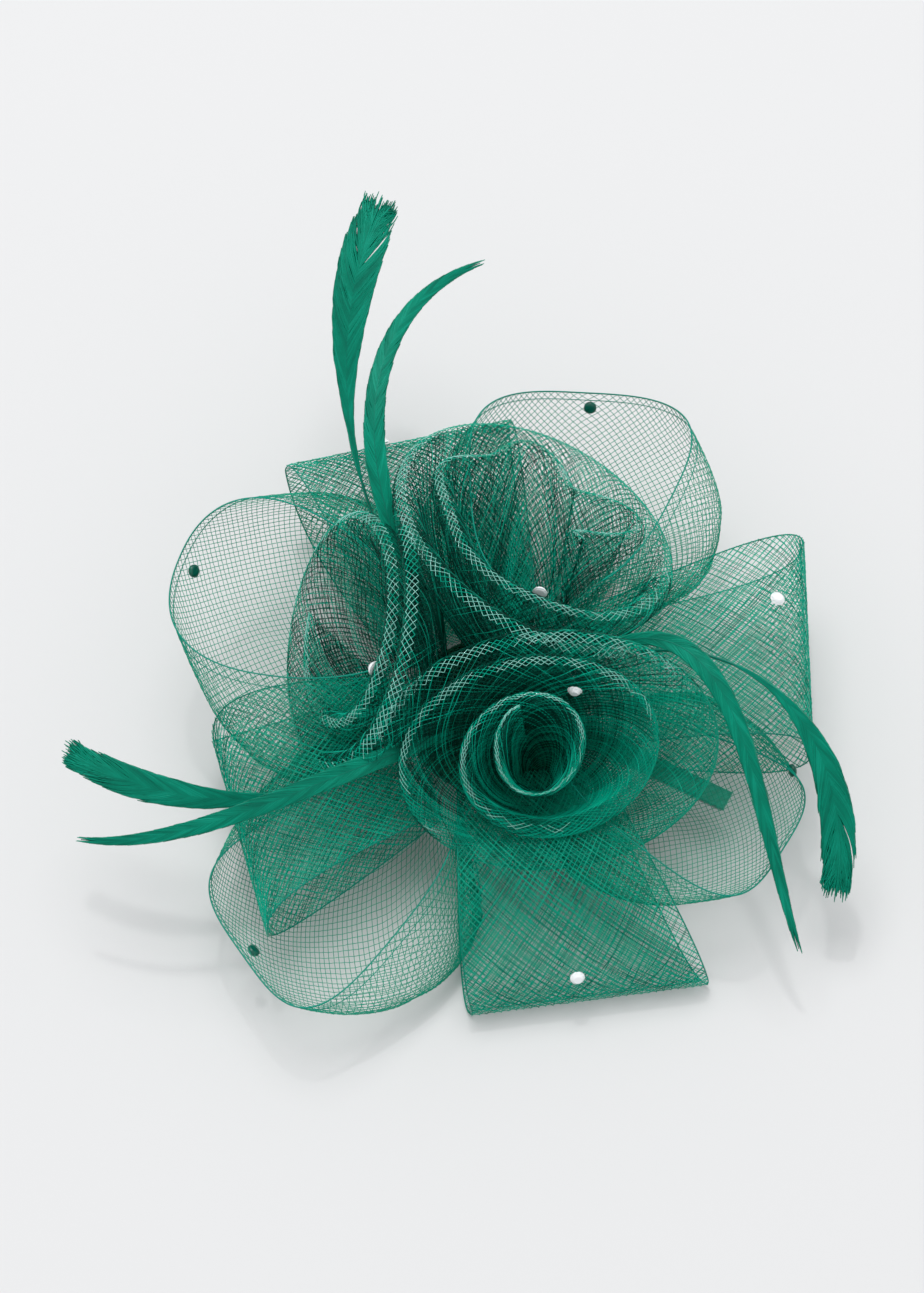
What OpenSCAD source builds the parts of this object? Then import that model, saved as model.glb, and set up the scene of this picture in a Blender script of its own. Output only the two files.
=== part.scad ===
// Fascinator headpiece: three rolled crin rosettes on a ring of crin loops, six feathers and a hair clip.
// Millimetres. +Z points away from the head, the origin is the centre of the base's underside.

/* [Crin] */
// Width of the flat crin ribbon in the loops
ribbon_w = 63; // [58:1:66]
// Thickness of the thin solids that stand for one layer of crin
crin_t = 0.8; // [0.6:0.1:1.0]
// Thickness of a rosette's rolled tube of crin, rim to root
roll_t = 1.6; // [1.2:0.1:2.0]

/* [Base] */
// Radius of the round base
base_r = 24; // [20:1:27]
// Thickness of the felt backing
felt_t = 1.4; // [1:0.1:1.6]
// Thickness of the stiff buckram disc on the felt
buckram_t = 1.2; // [1:0.1:1.4]

/* [Clip] */
// Length of the clip's blades from the hinge pin to the tip
blade_l = 66; // [60:1:68]
// Width of the clip's blades
blade_w = 5; // [4.6:0.1:5.4]
// Thickness of the clip's pressed steel
steel_t = 0.6; // [0.5:0.1:0.7]
// Radius of the hinge pin
pin_r = 0.6; // [0.5:0.05:0.7]
// Direction in which the clip's tip points
clip_az = -28; // [-40:1:-20]

/* [Trim] */
// Diameter of a rhinestone
stone_d = 4; // [3.6:0.1:4.4]
// Diameter of a loop stud
stud_d = 3.4; // [3:0.1:3.8]
// Thickness of a feather's solid
feather_t = 0.7; // [0.6:0.1:0.9]

/* [Hidden] */
$fn = 48;

// Sheer loop: direction, rim, belly, root, slope of the rim, squareness of the rim and half sweep; the rim,
// belly and root are half ellipses given as [middle, sideways shift, depth, half width, height]
loop_back = [87, [55, -22, 31, 34, 29], [56, -22, 18, 58, -6], [26, -3, 4, 20, 3], 2, 0.6, 142];
loop_left = [161, [57, -4, 34, 30, 28], [55, -9, 20, 62, -6], [26, 0, 4, 20, 3], -2, 0.85, 142];
loop_front = [214, [61, 24, 35, 29, 9], [54, 18, 26, 54, -22], [26, 4, 4, 18, 3], 0, 0.55, 140];
loop_right = [-31, [56, 0, 32, 24, 13], [54, 2, 18, 46, -2], [26, 0, 4, 18, 3], 0, 0.55, 140];
// How strongly a loop's sides draw in towards the middle of the flower
loop_taper = 0.5;

// Band loop: direction, reach, sideways shift, fold heights at the two corners, height of the upper run,
// depth of the lower run, and how much the band narrows towards the middle
band_right = [0, 84, 15, [11, 11], 26, 3, 0.35];
band_back = [103, 80, 9, [14, 15], 20, -11, 0.35];
band_left = [195, 75, 19, [11, 1], 17, -4, 0.35];
band_front = [278, 80, 14, [-11.5, -11.5], 8, -10, 0.4];
// Distance of a band's two ends from the middle, and their heights
band_root = 22;
band_root_z = [9, 5];

// Rosette: rim centre, radius along the tilt and across it, direction and angle of the tilt, root centre,
// radius of the root, first angle, turns, radii of the last turn, shift of the last turn, and the petals of
// the last turn as [share of the radius, number in a turn, angle]
rose_left = [[-40, 11, 30], [36, 40], 184, 60, [-23, 6, 3.2], 9, 200, -1.65, [22, 25], [0, 0, 0],
    [0, 0, 0]];
rose_back = [[14, 36, 38], [43, 44], 40, 29, [9, 15, 3.2], 9, 255, -1.9, [24, 25], [-4, 10, -4],
    [0.5, 5, -150]];
rose_front = [[14, -26, 28], [34, 46], 275, 50, [10, -20, 3.2], 9, -105, -3.2, [11.5, 7.5], [-7, -3, 12],
    [0, 0, 0]];
// Where a rosette's belly lies: share of the way up from the root, and share of the rim's radius
belly_up = 0.35;
belly_out = 0.62;

// Feather: width, and the four control points of its spine
cut_back = [13, [[-24, 34, 14], [-46, 66, 28], [-43, 100, 52], [-31, 128, 57]]];
cut_left = [9, [[-22, -14, 14], [-48, -40, 20], [-83, -44, 30], [-111, -27, 32]]];
cut_right = [10, [[38, 2, 34], [74, -4, 54], [94, -28, 28], [89, -55, 8]]];
curl_back = [5.4, [[-22, 22, 36], [-40, 50, 66], [-34, 89, 68], [-4, 108, 58]]];
curl_left = [5, [[-10, -16, 22], [-40, -34, 40], [-78, -56, 32], [-108, -47, 22]]];
curl_right = [5, [[28, 0, 40], [64, 6, 60], [66, -44, 36], [79, -71, 6]]];

// Where trim sits on a surface: along it, across it, and the side it is on
on_rose_left = [0.72, 0.93, 1];
on_rose_back = [0.575, 0.9, 1];
on_rose_front = [0.395, 0.85, 1];
on_band_right = [0.31, 0.67, 1];
on_band_back = [0.45, 0.575, 1];
on_band_front = [0.4, 0.47, 1];
on_loop_back = [0.5, 0.93];
on_loop_left = [0.5, 0.9];
on_loop_front = [0.5, 0.88];
on_loop_right = [0.67, 0.9];

// Rows and columns of the grids that the crin and the feathers are built on
loop_cells = [28, 8];
band_cells = [22, 4];
rose_cells = [32, 9];
feather_rows = 20;

// Feathers: how far they roll to one side, and how much the vane droops from the quill
feather_roll = 28;
vane_droop = 0.15;

// Stone: height of its girdle, height of its top, share of its width that the top facet takes
stone_girdle = 0.3;
stone_h = 1.4;
stone_table = 0.64;
// Stud: how far it reaches below and above the crin
stud_below = 0.7;
stud_above = 1.1;

// Binding: radius of the wound ring, and radius and height of its lower and upper strand
binding_r = 5;
binding_strands = [[1, 1], [0.9, 2.6]];

// Clip, on its own axes with the origin on the pin: ribbon round the top blade, pin, spring and heights
ribbon_t = 0.4;
pin_at = [3.7, 6, -3.6];
pin_clear = [0.03, 0.05];
pin_head = [1, 0.5];
spring_r = 1.2;
spring_wire = 0.35;
spring_turns = 3;
ear_gap = 0.1;
tail_l = 6;
tip_back = 0.6;
jaw_gap = 0.7;
ribbon_from = 5;
top_z = 3.2;
top_under = top_z - steel_t;
jaw_z = top_under - ribbon_t - jaw_gap;
jaw_inner = blade_w / 2 - steel_t - ear_gap;
// Outlines of the top blade's ears, of the jaw's ears and of the lever that opens the jaw
top_ear = [[-2.4, top_under], [-1.6, -1], [-0.8, -1.6], [0.8, -1.6], [1.6, -1], [2.4, top_under]];
jaw_ear = [[-2, 0.6], [-1.8, -0.6], [-0.9, -1.4], [0.9, -1.4], [4.2, jaw_z - steel_t], [4.2, jaw_z],
    [1.4, 1.2]];
jaw_lever = [[-2, 0.6], [-11.5, -3.4], [-11.2, -4], [-1.6, 0]];
crin_green = [0.0, 0.45, 0.33];
feather_green = [0.0, 0.58, 0.42];

// Step between two nearby points of a curve or a surface, of which 1 is the whole
step = 0.01;

// ---- Functions ----

function mix(a, b, t) = a + (b - a) * t;
function bezier(a, b, c, t) = (1 - t) * (1 - t) * a + 2 * t * (1 - t) * b + t * t * c;
function cubic(p, t) = let (s = 1 - t)
    s * s * s * p[0] + 3 * s * s * t * p[1] + 3 * s * t * t * p[2] + t * t * t * p[3];
function unit(v) = v / norm(v);
function turned(p, az) = [p.x * cos(az) - p.y * sin(az), p.x * sin(az) + p.y * cos(az), p.z];
function held(i, last) = max(0, min(last, i));

// Direction square to a grid of points at row i, column j
function square_to(grid, i, j) = let (
        rows = len(grid) - 1,
        cols = len(grid[0]) - 1,
        along = grid[held(i + 1, rows)][j] - grid[held(i - 1, rows)][j],
        across = grid[i][held(j + 1, cols)] - grid[i][held(j - 1, cols)])
    unit(cross(along, across));

function rounded(x, power) = sign(x) * pow(abs(x), power);

// A point of a half ellipse given as [middle, sideways shift, depth, half width, height]
function arc_point(e, a, square, slope) = [e[0] + e[2] * rounded(cos(a), square),
    e[1] + e[3] * rounded(sin(a), square), e[4] + slope * sin(a)];

// Draws a point of a loop in sideways the nearer it is to the middle of the flower
function drawn_in(p, reach) = [p.x, p.y * pow(max(p.x, 4) / reach, loop_taper), p.z];

// A sheer loop is a ribbon on edge: its rim runs out, round and back, and its wall scoops down to the root
function loop_point(loop, u, v) = let (a = loop[6] * (2 * u - 1), reach = loop[1][0] + loop[1][2])
    turned(bezier(arc_point(loop[3], a, 1, 0), arc_point(loop[2], a, 1, 0),
        drawn_in(arc_point(loop[1], a, loop[5], loop[4]), reach), v), loop[0]);

// A band loop lies flat: its ribbon runs out, folds over and runs back underneath; u from 0 to 1 and back
function band_point(band, u, v) = let (
        out = 1 - abs(2 * u - 1),
        fold_z = mix(band[3][1], band[3][0], v),
        middle_z = u < 0.5 ? band[4] : band[5],
        root_z = band_root_z[u < 0.5 ? 0 : 1],
        gap = u < 0.5 ? crin_t : -crin_t,
        reach = mix(band_root, band[1], 1 - (1 - out) * (1 - out)),
        w = ribbon_w * (1 - band[6] * (1 - out) * (1 - out)))
    turned([reach, band[2] * (0.4 + 0.6 * out) + w * (v - 0.5),
        bezier(root_z, 2 * middle_z - (root_z + fold_z) / 2, fold_z, out) + gap * out * 0.9], band[0]);

// A rosette is a ribbon rolled into a spiral cup whose rim is tilted away from the middle of the flower; the
// spiral tightens slowly at both ends, and the petals grow towards its inner end
function rose_point(rose, u, v) = let (
        a = rose[6] + 360 * rose[7] * u,
        petals = 1 + rose[10][0] * pow(u, 6) * sin(rose[10][1] * a + rose[10][2]),
        radii = mix(rose[1], rose[8], (1 - cos(180 * u)) / 2) * petals,
        tilt_dir = turned([cos(rose[3]), 0, -sin(rose[3])], rose[2]),
        flat_dir = turned([1, 0, 0], rose[2]),
        side_dir = turned([0, 1, 0], rose[2]),
        shift = rose[9] * u * u,
        rim = rose[0] + shift + radii[0] * cos(a) * tilt_dir + radii[1] * sin(a) * side_dir,
        root = rose[4] + rose[5] * radii[1] / rose[1][1] * (cos(a) * flat_dir + sin(a) * side_dir),
        belly = mix(rose[4], rose[0] + shift, belly_up)
            + belly_out * (radii[0] * cos(a) * unit(tilt_dir + flat_dir) + radii[1] * sin(a) * side_dir))
    bezier(root, belly, rim, v);

// ---- Solids from grids ----

// Closes a grid of points into a thin solid whose thickness at column j is thick[j]
module sheet(grid, thick) {
    rows = len(grid);
    cols = len(grid[0]);
    count = rows * cols;
    upper = [for (i = [0 : rows - 1], j = [0 : cols - 1]) grid[i][j] + square_to(grid, i, j) * thick[j] / 2];
    lower = [for (i = [0 : rows - 1], j = [0 : cols - 1]) grid[i][j] - square_to(grid, i, j) * thick[j] / 2];
    cells = [for (i = [0 : rows - 2], j = [0 : cols - 2]) i * cols + j];
    last = (rows - 1) * cols;
    polyhedron(points = concat(upper, lower), faces = concat(
        [for (c = cells) [c, c + 1, c + cols + 1]],
        [for (c = cells) [c, c + cols + 1, c + cols]],
        [for (c = cells) [count + c, count + c + cols + 1, count + c + 1]],
        [for (c = cells) [count + c, count + c + cols, count + c + cols + 1]],
        [for (j = [0 : cols - 2]) [j + 1, j, count + j]],
        [for (j = [0 : cols - 2]) [j + 1, count + j, count + j + 1]],
        [for (j = [0 : cols - 2]) [last + j, last + j + 1, count + last + j + 1]],
        [for (j = [0 : cols - 2]) [last + j, count + last + j + 1, count + last + j]],
        [for (i = [0 : rows - 2]) let (c = i * cols) [c, c + cols, count + c + cols]],
        [for (i = [0 : rows - 2]) let (c = i * cols) [c, count + c + cols, count + c]],
        [for (i = [0 : rows - 2]) let (c = i * cols + cols - 1) [c + cols, c, count + c]],
        [for (i = [0 : rows - 2]) let (c = i * cols + cols - 1) [c + cols, count + c, count + c + cols]]));
}

module even_sheet(grid, thickness) sheet(grid, [for (j = grid[0]) thickness]);

module sheer_loop(loop) color(crin_green, 0.5)
    even_sheet([for (i = [0 : loop_cells[0]]) [for (j = [0 : loop_cells[1]])
        loop_point(loop, i / loop_cells[0], j / loop_cells[1])]], crin_t);

module band_loop(band) color(crin_green, 0.8)
    even_sheet([for (i = [0 : band_cells[0]]) [for (j = [0 : band_cells[1]])
        band_point(band, i / band_cells[0], j / band_cells[1])]], crin_t);

module rosette(rose) {
    rows = round(rose_cells[0] * abs(rose[7]));
    cols = rose_cells[1];
    color(crin_green) sheet(
        [for (i = [0 : rows]) [for (j = [0 : cols]) rose_point(rose, i / rows, j / cols)]],
        [for (j = [0 : cols]) roll_t * (1 + sin(180 * j / cols)) / 2]);
}

// Half width of a feather at t: a bare quill, then a vane that ends cut off square or in a point
function cut_half(t, w) = let (open = sin(min(90, 180 * max(0, t - 0.38))))
    w / 2 * (0.12 + 0.88 * pow(open, 1.2)) * (1 - 0.25 * pow(t, 3));
function curl_half(t, w) = w / 2 * (0.3 + 0.7 * sin(min(90, 300 * t))) * (1 - 0.85 * pow(t, 3));

module feather(spine, halves) {
    face = [0, -sin(feather_roll), cos(feather_roll)];
    grid = [for (i = [0 : feather_rows]) let (
            t = i / feather_rows,
            run = unit(cubic(spine, min(1, t + step)) - cubic(spine, max(0, t - step))),
            side = unit(cross(run, face)),
            droop = cross(side, run) * vane_droop)
        [for (j = [-1 : 1]) cubic(spine, t) + halves[i] * (side * j - droop * abs(j))]];
    color(feather_green) even_sheet(grid, feather_t);
}

module cut_feather(f) feather(f[1], [for (i = [0 : feather_rows]) cut_half(i / feather_rows, f[0])]);
module curl_feather(f) feather(f[1], [for (i = [0 : feather_rows]) curl_half(i / feather_rows, f[0])]);

// A place on a surface, from the point there and two a step along and across: [position, square to it]
function place(p, along, across, side, lift) =
    let (out = unit(cross(along - p, across - p)) * side) [p + out * lift, out];
function on_loop(loop, at) = place(loop_point(loop, at[0], at[1]), loop_point(loop, at[0] + step, at[1]),
    loop_point(loop, at[0], at[1] + step), 1, 0);
function on_band(band, at) = place(band_point(band, at[0], at[1]), band_point(band, at[0] + step, at[1]),
    band_point(band, at[0], at[1] + step), at[2], crin_t / 2);
function on_rose(rose, at) = place(rose_point(rose, at[0], at[1]), rose_point(rose, at[0] + step, at[1]),
    rose_point(rose, at[0], at[1] + step), at[2], roll_t / 3);

// Puts its children at a place, with their +Z axis square to the surface
module facing(place) {
    d = place[1];
    translate(place[0]) rotate([0, acos(d.z), atan2(d.y, d.x)]) children();
}

// A faceted crystal with a flat back, on one side of the crin
module stone(place) color([0.92, 0.94, 0.95]) facing(place) rotate_extrude()
    polygon([[0, 0], [stone_d / 2, 0], [stone_d / 2, stone_girdle], [stone_table * stone_d / 2, stone_h],
        [0, stone_h + 0.2]]);

// A flat stud that goes through the crin
module stud(place) color(feather_green * 0.7) facing(place) rotate_extrude()
    polygon([[0, -stud_below], [stud_d / 2, 0.1 - stud_below], [stud_d / 2, stud_below],
        [stud_d / 4, stud_above - 0.1], [0, stud_above]]);

// ---- Base ----

module felt_backing() color(crin_green * 0.8) cylinder(h = felt_t, r = base_r);

module buckram_disc() color(crin_green * 0.9) translate([0, 0, felt_t])
    cylinder(h = buckram_t, r = base_r - 1);

module thread_binding() color(crin_green * 0.7) translate([0, 0, felt_t + buckram_t])
    for (strand = binding_strands) rotate_extrude() translate([binding_r, strand[1]]) circle(r = strand[0]);

// ---- Clip: its own axes run along the blades (X), across them (Y) and up to the base (Z) ----

module in_clip() translate(pin_at) rotate([0, 0, clip_az]) children();

module lying(y0, y1) translate([0, y1, 0]) rotate([90, 0, 0]) linear_extrude(y1 - y0) children();

// A hole or a rod along the pin's axis
module along_pin(l, r) rotate([90, 0, 0]) cylinder(h = l, r = r, center = true);

module clip_top_blade() color("silver") in_clip() difference() {
    union() {
        translate([-tail_l, -blade_w / 2, top_under]) cube([blade_l + tail_l - tip_back, blade_w, steel_t]);
        for (y = [-blade_w / 2, blade_w / 2 - steel_t]) lying(y, y + steel_t) polygon(top_ear);
    }
    along_pin(blade_w + 2, pin_r + pin_clear[0]);
}

module clip_jaw() color("silver") in_clip() difference() {
    union() {
        translate([3.6, -blade_w / 2, jaw_z - steel_t]) cube([blade_l - 4, blade_w, steel_t]);
        lying(-jaw_inner, jaw_inner) polygon(jaw_lever);
        translate([-2, -jaw_inner, 0.3]) cube([0.6, 2 * jaw_inner, 0.3]);
        for (y = [-jaw_inner, jaw_inner - steel_t]) lying(y, y + steel_t) polygon(jaw_ear);
    }
    along_pin(blade_w + 2, pin_r + pin_clear[1]);
}

module clip_pin() color("gray") in_clip() {
    along_pin(blade_w + 0.4, pin_r);
    for (s = [-1, 1]) translate([0, s * (blade_w / 2 + 0.35), 0]) along_pin(pin_head[1], pin_head[0]);
}

module clip_spring() color("gray") in_clip() rotate([90, 0, 0])
    for (i = [0 : spring_turns - 1]) translate([0, 0, (2 * i - spring_turns + 1) * spring_wire])
        rotate_extrude() translate([spring_r - spring_wire / 2, 0]) circle(r = spring_wire, $fn = 24);

module clip_ribbon() color(crin_green) in_clip() difference() {
    translate([ribbon_from, -blade_w / 2 - ribbon_t, top_under - ribbon_t])
        cube([blade_l - ribbon_from + ribbon_t, blade_w + 2 * ribbon_t, steel_t + 2 * ribbon_t]);
    translate([ribbon_from - 1, -blade_w / 2, top_under])
        cube([blade_l + 1 - ribbon_from - tip_back, blade_w, steel_t]);
}

felt_backing();
buckram_disc();
thread_binding();
rosette(rose_left);  // rosette_left
rosette(rose_back);  // rosette_back
rosette(rose_front);  // rosette_front
sheer_loop(loop_back);  // sheer_loop_back
sheer_loop(loop_left);  // sheer_loop_left
sheer_loop(loop_front);  // sheer_loop_front
sheer_loop(loop_right);  // sheer_loop_right
band_loop(band_right);  // band_loop_right
band_loop(band_back);  // band_loop_back
band_loop(band_left);  // band_loop_left
band_loop(band_front);  // band_loop_front
cut_feather(cut_back);  // cut_feather_back
cut_feather(cut_left);  // cut_feather_left
cut_feather(cut_right);  // cut_feather_right
curl_feather(curl_back);  // curl_feather_back
curl_feather(curl_left);  // curl_feather_left
curl_feather(curl_right);  // curl_feather_right
stone(on_rose(rose_left, on_rose_left));  // stone_rosette_left
stone(on_rose(rose_back, on_rose_back));  // stone_rosette_back
stone(on_rose(rose_front, on_rose_front));  // stone_rosette_front
stone(on_band(band_right, on_band_right));  // stone_band_right
stone(on_band(band_back, on_band_back));  // stone_band_back
stone(on_band(band_front, on_band_front));  // stone_band_front
stud(on_loop(loop_back, on_loop_back));  // stud_loop_back
stud(on_loop(loop_left, on_loop_left));  // stud_loop_left
stud(on_loop(loop_front, on_loop_front));  // stud_loop_front
stud(on_loop(loop_right, on_loop_right));  // stud_loop_right
clip_top_blade();
clip_jaw();
clip_pin();
clip_spring();
clip_ribbon();
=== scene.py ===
"""Looks of the fascinator headpiece: crin nets, feathers, stones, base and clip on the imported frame."""
import bmesh
import bpy
import math
import numpy as np
from collections import namedtuple
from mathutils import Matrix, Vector


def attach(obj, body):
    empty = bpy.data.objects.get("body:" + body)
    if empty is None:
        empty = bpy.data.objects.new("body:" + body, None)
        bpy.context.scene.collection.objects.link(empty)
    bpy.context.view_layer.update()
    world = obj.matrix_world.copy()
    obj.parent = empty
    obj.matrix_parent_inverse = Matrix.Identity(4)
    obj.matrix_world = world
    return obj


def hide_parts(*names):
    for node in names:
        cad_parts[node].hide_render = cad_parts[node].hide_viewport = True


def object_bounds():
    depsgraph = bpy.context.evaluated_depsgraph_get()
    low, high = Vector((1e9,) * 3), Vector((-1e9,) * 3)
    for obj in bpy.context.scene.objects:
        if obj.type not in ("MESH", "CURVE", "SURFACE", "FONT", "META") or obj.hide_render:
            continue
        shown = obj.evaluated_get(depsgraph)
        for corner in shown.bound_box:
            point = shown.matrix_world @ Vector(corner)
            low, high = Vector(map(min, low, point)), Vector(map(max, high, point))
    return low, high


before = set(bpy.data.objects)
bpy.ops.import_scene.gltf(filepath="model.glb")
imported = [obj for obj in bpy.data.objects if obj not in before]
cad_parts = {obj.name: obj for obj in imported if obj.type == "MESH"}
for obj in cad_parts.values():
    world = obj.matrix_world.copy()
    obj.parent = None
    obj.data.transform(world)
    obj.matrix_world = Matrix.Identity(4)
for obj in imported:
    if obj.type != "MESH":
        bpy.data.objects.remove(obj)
cad_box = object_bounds()

MM = 0.001
rng = np.random.default_rng(7)

# ---- Driving dimensions, in millimetres and degrees, as in the CAD source ----

RIBBON_W = 63.0
CRIN_T = 0.8
# Power by which a sheer loop narrows towards its root
LOOP_TAPER = 0.5
# Band loops: how far out the root is, and how high the upper and the lower run are there
BAND_ROOT = 22.0
BAND_ROOT_Z = (9.0, 5.0)
# Rosettes: how far up towards the rim and how far out the wall's belly is, as shares
BELLY_UP = 0.35
BELLY_OUT = 0.62
STONE_D = 4.0
STUD_D = 3.4
FEATHER_TILT = 28.0
VANE_DROOP = 0.15
BASE_R = 24.0
FELT_T = 1.4
BUCKRAM_T = 1.2
CLIP_AZ = -28.0
PIN_AT = (3.7, 6.0, -3.6)
BLADE_L = 66.0
BLADE_W = 5.0
CLIP_TOP_Z = 3.2
STEEL_T = 0.6
RIBBON_T = 0.4
RIBBON_FROM = 5.0

# Sheer loop. Rim, belly and root are ovals: middle along and across, half lengths along and across, height
Loop = namedtuple("Loop", "direction rim belly root slope square half_sweep")
LOOPS = {
    "back": Loop(87, (55, -22, 31, 34, 29), (56, -22, 18, 58, -6), (26, -3, 4, 20, 3), 2, 0.6, 142),
    "left": Loop(161, (57, -4, 34, 30, 28), (55, -9, 20, 62, -6), (26, 0, 4, 20, 3), -2, 0.85, 142),
    "front": Loop(214, (61, 24, 35, 29, 9), (54, 18, 26, 54, -22), (26, 4, 4, 18, 3), 0, 0.55, 140),
    "right": Loop(-31, (56, 0, 32, 24, 13), (54, 2, 18, 46, -2), (26, 0, 4, 18, 3), 0, 0.55, 140),
}
# Band loop. fold_z is the height of the fold's two ends, upper_z and lower_z that of the runs half way
Band = namedtuple("Band", "direction reach shift fold_z upper_z lower_z narrowing")
BANDS = {
    "right": Band(0, 84, 15, (11, 11), 26, 3, 0.35),
    "back": Band(103, 80, 9, (14, 15), 20, -11, 0.35),
    "left": Band(195, 75, 19, (11, 1), 17, -4, 0.35),
    "front": Band(278, 80, 14, (-11.5, -11.5), 8, -10, 0.4),
}
# Rosette. tilt_to is the direction of its rim's tilt, and petals their depth as a share, number and angle
Rose = namedtuple("Rose", "centre radii tilt_to tilt root root_r first_angle turns "
                          "last_radii last_shift petals")
ROSES = {
    "left": Rose((-40, 11, 30), (36, 40), 184, 60, (-23, 6, 3.2), 9, 200, -1.65,
                 (22, 25), (0, 0, 0), (0, 0, 0)),
    "back": Rose((14, 36, 38), (43, 44), 40, 29, (9, 15, 3.2), 9, 255, -1.9,
                 (24, 25), (-4, 10, -4), (0.5, 5, -150)),
    "front": Rose((14, -26, 28), (34, 46), 275, 50, (10, -20, 3.2), 9, -105, -3.2,
                  (11.5, 7.5), (-7, -3, 12), (0, 0, 0)),
}
# Feather: spine control points, width
CUT_FEATHERS = {
    "back": (((-24, 34, 14), (-46, 66, 28), (-43, 100, 52), (-31, 128, 57)), 13),
    "left": (((-22, -14, 14), (-48, -40, 20), (-83, -44, 30), (-111, -27, 32)), 9),
    "right": (((38, 2, 34), (74, -4, 54), (94, -28, 28), (89, -55, 8)), 10),
}
CURL_FEATHERS = {
    "back": (((-22, 22, 36), (-40, 50, 66), (-34, 89, 68), (-4, 108, 58)), 5.4),
    "left": (((-10, -16, 22), (-40, -34, 40), (-78, -56, 32), (-108, -47, 22)), 5),
    "right": (((28, 0, 40), (64, 6, 60), (66, -44, 36), (79, -71, 6)), 5),
}
# Stone: kind of surface, its side, along and across. On the rosettes they stand off the CAD's wall, because
# the rolled tube is thicker here, and the back rosette's is also nearer the rim than in the CAD
STONES = {
    "rosette_left": ("rose", "left", 0.72, 0.93),
    "rosette_back": ("rose", "back", 0.575, 0.97),
    "rosette_front": ("rose", "front", 0.395, 0.85),
    "band_right": ("band", "right", 0.31, 0.67),
    "band_back": ("band", "back", 0.45, 0.575),
    "band_front": ("band", "front", 0.4, 0.47),
}
STUD_AT = {"back": (0.5, 0.93), "left": (0.5, 0.9), "front": (0.5, 0.88), "right": (0.67, 0.9)}

# ---- Filaments, in millimetres ----

NET_PITCH = 1.4
BAND_PITCH = 1.4
THREAD_R = 0.115
ROSE_PITCH = 1.2
ROSE_THREAD_R = 0.105
# How far a filament passes over and under the others, as a share of its radius
WEAVE = 0.8
# How far a filament of a flat net strays from its place
SLACK = 0.05
# Layers of a band: height over its surface, pitch, and how many of the net's corners one step takes
BAND_LAYERS = ((0.4, BAND_PITCH, 1), (-0.4, BAND_PITCH * 1.25, 2))
# Half thickness of each rolled tube near its rim, at its outer and its inner end
PUFF = {"left": (3.4, 3.0), "back": (3.6, 2.6), "front": (3.7, 1.7)}
# Radius of bend below which a tube gets thinner, and the least share of its thickness that is left
FULL_PUFF_BEND = 26
LEAST_PUFF = 0.3
# Share of a rosette's wall that its round crest takes, and how far up the net that crest begins
CREST = 0.07
CREST_FROM = 0.86
# Folds along each rosette, and their depth
ROSE_FOLDS = {"left": (10, 2.0), "back": (9, 2.0), "front": (11, 0.8)}
# Share of a rolled tube's net, on each side of its crest, that may take the pale colour of a painted
# highlight
GLINT_SHARE = 0.055
# Middle of the flower seen from above, and how far its heart of painted shade, its cups of partly painted
# shade and its rims of pale painted highlights reach
HEART = (-7.0, 12.0)
HEART_R = 26.0
CUP_R = 48.0
GLINT_R = 58.0

# Places of the colours in the crin's and in the feathers' lists of materials. Of the crin's, the pale one is
# a painted highlight and the darkest one is painted shade
FILAMENT, PAINTED_GLINT, SELVEDGE, DEEP, PAINTED_SHADE, SHEER = range(6)
VANE, VANE_LIGHT, VANE_DEEP, QUILL = range(4)

# ---- Camera ----

CAMERA_ELEVATION = 62.0
CAMERA_DISTANCE = 1.1
CAMERA_AIM = Vector((-8.9, 16.8, 8.9)) * MM
CAMERA_LENS = 113.3


def make_camera():
    data = bpy.data.cameras.new("camera")
    data.lens = CAMERA_LENS
    data.sensor_width = 36
    cam = bpy.data.objects.new("camera", data)
    bpy.context.scene.collection.objects.link(cam)
    up = math.radians(CAMERA_ELEVATION)
    cam.location = CAMERA_AIM + CAMERA_DISTANCE * Vector((0, -math.cos(up), math.sin(up)))
    cam.rotation_euler = (math.radians(90) - up, 0, 0)
    bpy.context.scene.camera = cam


# ---- Surfaces ----

def turned(p, az):
    c, s = math.cos(math.radians(az)), math.sin(math.radians(az))
    return np.stack([p[..., 0] * c - p[..., 1] * s, p[..., 0] * s + p[..., 1] * c, p[..., 2]], -1)


def bezier(a, b, c, t):
    t = t[..., None]
    return (1 - t) ** 2 * a + 2 * t * (1 - t) * b + t * t * c


def cubic(p, t):
    p = np.array(p, float)
    t = np.asarray(t, float)[..., None]
    s = 1 - t
    return s ** 3 * p[0] + 3 * s * s * t * p[1] + 3 * s * t * t * p[2] + t ** 3 * p[3]


def unit(v):
    return v / np.maximum(np.linalg.norm(v, axis=-1, keepdims=True), 1e-9)


def arc(e, a, square, slope):
    """Points at angles a of an oval e. Less than 1 makes it squarer, and slope lifts one side of it."""
    ca, sa = np.cos(a), np.sin(a)
    return np.stack([e[0] + e[2] * np.sign(ca) * np.abs(ca) ** square,
                     e[1] + e[3] * np.sign(sa) * np.abs(sa) ** square, e[4] + slope * sa], -1)


def loop_point(loop, u, v):
    """A sheer loop: its rim runs out, round and back, and its wall scoops down to the root."""
    a = np.radians(loop.half_sweep) * (2 * u - 1)
    reach = loop.rim[0] + loop.rim[2]
    rim = arc(loop.rim, a, loop.square, loop.slope)
    rim[..., 1] *= (np.maximum(rim[..., 0], 4) / reach) ** LOOP_TAPER
    return turned(bezier(arc(loop.root, a, 1, 0), arc(loop.belly, a, 1, 0), rim, v), loop.direction)


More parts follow.
